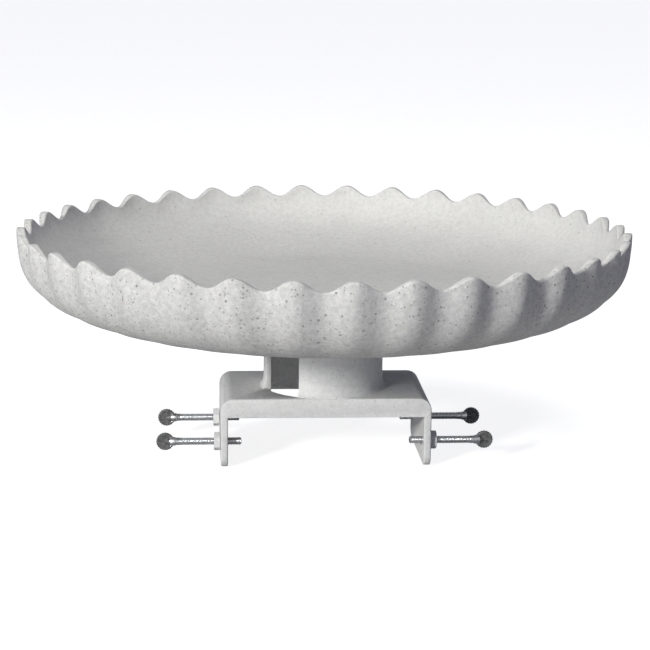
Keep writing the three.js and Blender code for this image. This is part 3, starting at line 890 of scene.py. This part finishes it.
def build_cover():
    """The round plate under the bowl, with its two rings of screw holes."""
    radius = (cover_high.x - cover_low.x) / 2
    cover = cylinder("cover_body", radius, cover_low.z, cover_high.z, "Z", 180)
    rings = (
        (COVER_SCREW_CIRCLE, COVER_SCREW_COUNT, COVER_SCREW_RADIUS + CLEARANCE),
        (BOWL_SCREW_CIRCLE, BOWL_SCREW_COUNT, BOWL_SCREW_RADIUS + CLEARANCE),
    )
    for circle, count, size in rings:
        for index in range(count):
            turn = 2 * math.pi * index / count
            centre = (circle * math.cos(turn), circle * math.sin(turn), 0)
            hole = cylinder("cover_hole", size, 0.1, 0.13, "Z", 32, centre)
            boolean(cover, hole, "DIFFERENCE")
    round_edges(cover, 0.5 * MM, 2)
    smooth_shading(cover, 35)
    finish_piece(cover, cover_resin, "cover_resin", BODY, "underside_cover")


# ---- Stage -----------------------------------------------------------------------

def build_camera():
    """A long lens in front of the bowl, a little above its rim and slightly to the bracket's left."""
    elevation, yaw = math.radians(CAMERA_ELEVATION), math.radians(CAMERA_YAW)
    pitch, roll = math.radians(CAMERA_PITCH), math.radians(CAMERA_ROLL)
    turn = Matrix.Rotation(math.radians(CAMERA_TURN), 3, "Z")
    place = Vector((0, -CAMERA_DISTANCE * math.cos(elevation), CAMERA_DISTANCE * math.sin(elevation)))
    forward = Vector((math.sin(yaw) * math.cos(pitch), math.cos(yaw) * math.cos(pitch), -math.sin(pitch)))
    right = Vector((math.cos(yaw), -math.sin(yaw), 0))
    up = right.cross(forward)
    tilted_right = math.cos(roll) * right + math.sin(roll) * up
    tilted_up = -math.sin(roll) * right + math.cos(roll) * up
    axes = Matrix((turn @ tilted_right, turn @ tilted_up, turn @ -forward)).transposed()
    data = bpy.data.cameras.new("camera")
    data.sensor_width = SENSOR_WIDTH
    data.lens = CAMERA_LENS
    camera = bpy.data.objects.new("camera", data)
    camera.matrix_world = Matrix.Translation(turn @ place + Vector((0, 0, RIM_Z))) @ axes.to_4x4()
    bpy.context.scene.collection.objects.link(camera)
    bpy.context.scene.camera = camera


def add_area_light(name, azimuth, elevation, size, power, colour):
    """A square light that faces the bowl; azimuth is from +X, elevation above the floor."""
    data = bpy.data.lights.new(name, "AREA")
    data.size = size
    data.energy = power
    data.color = colour
    light = bpy.data.objects.new(name, data)
    around, above = math.radians(azimuth), math.radians(elevation)
    away = Vector((math.cos(around) * math.cos(above), math.sin(around) * math.cos(above), math.sin(above)))
    light.location = LIGHT_TARGET + away * LIGHT_DISTANCE
    light.rotation_euler = away.to_track_quat("Z", "Y").to_euler()
    bpy.context.scene.collection.objects.link(light)


def build_world():
    """Dim bluish surroundings, but mirror rays see a brighter studio and the camera a pale backdrop."""
    world = bpy.data.worlds.new("studio")
    world.use_nodes = True
    tree = world.node_tree
    background = tree.nodes["Background"]
    path = tree.nodes.new("ShaderNodeLightPath")
    tint = tree.nodes.new("ShaderNodeMix")
    tint.data_type = "RGBA"
    tint.inputs[6].default_value = SURROUNDINGS
    tint.inputs[7].default_value = STUDIO_IN_METAL
    tree.links.new(path.outputs["Is Glossy Ray"], tint.inputs["Factor"])
    backdrop = tree.nodes.new("ShaderNodeMix")
    backdrop.data_type = "RGBA"
    backdrop.inputs[7].default_value = BACKDROP
    tree.links.new(path.outputs["Is Camera Ray"], backdrop.inputs["Factor"])
    tree.links.new(tint.outputs[2], backdrop.inputs[6])
    tree.links.new(backdrop.outputs[2], background.inputs["Color"])
    background.inputs["Strength"].default_value = 1.0
    bpy.context.scene.world = world


def build_floor():
    """A wide pale floor, lit a little from within so that it stays near white."""
    half = FLOOR_HALF_WIDTH
    floor = prism("floor", [(-half, -half), (half, -half), (half, half), (-half, half)], -0.02, -0.0002)
    nodes = Nodes("floor_white")
    nodes.shader.inputs["Base Color"].default_value = FLOOR_TONE
    nodes.shader.inputs["Roughness"].default_value = 0.9
    glow = nodes.add("ShaderNodeEmission")
    path = nodes.add("ShaderNodeLightPath")
    dim = nodes.add("ShaderNodeMath", operation="MULTIPLY")
    dim.inputs[1].default_value = FLOOR_GLOW
    nodes.link(path.outputs["Is Camera Ray"], dim.inputs[0])
    nodes.link(dim.outputs[0], glow.inputs["Strength"])
    both = nodes.add("ShaderNodeAddShader")
    nodes.link(nodes.shader.outputs[0], both.inputs[0])
    nodes.link(glow.outputs[0], both.inputs[1])
    nodes.link(both.outputs[0], nodes.tree.nodes["Material Output"].inputs["Surface"])
    floor.data.materials.append(nodes.material)


# ---- Assembly --------------------------------------------------------------------

bpy.context.scene.view_settings.view_transform = "Standard"
build_camera()
build_world()
for light_name, settings in LIGHTS.items():
    add_area_light(light_name, *settings)
build_floor()

finish_piece(build_bowl(), stone_outside, "stone_resin", BODY, "bowl")
finish_piece(build_bracket(), stone_bracket_with_painted_light, "bracket_resin", BODY, "deck_bracket")
build_cover()
build_nuts()
build_thumb_screws()
build_pan_screws("cover_screw", COVER_SCREW_COUNT, COVER_SCREW_RADIUS, COVER_SCREW_LENGTH)
build_pan_screws("bowl_screw", BOWL_SCREW_COUNT, BOWL_SCREW_RADIUS, BOWL_SCREW_LENGTH)
build_washers()
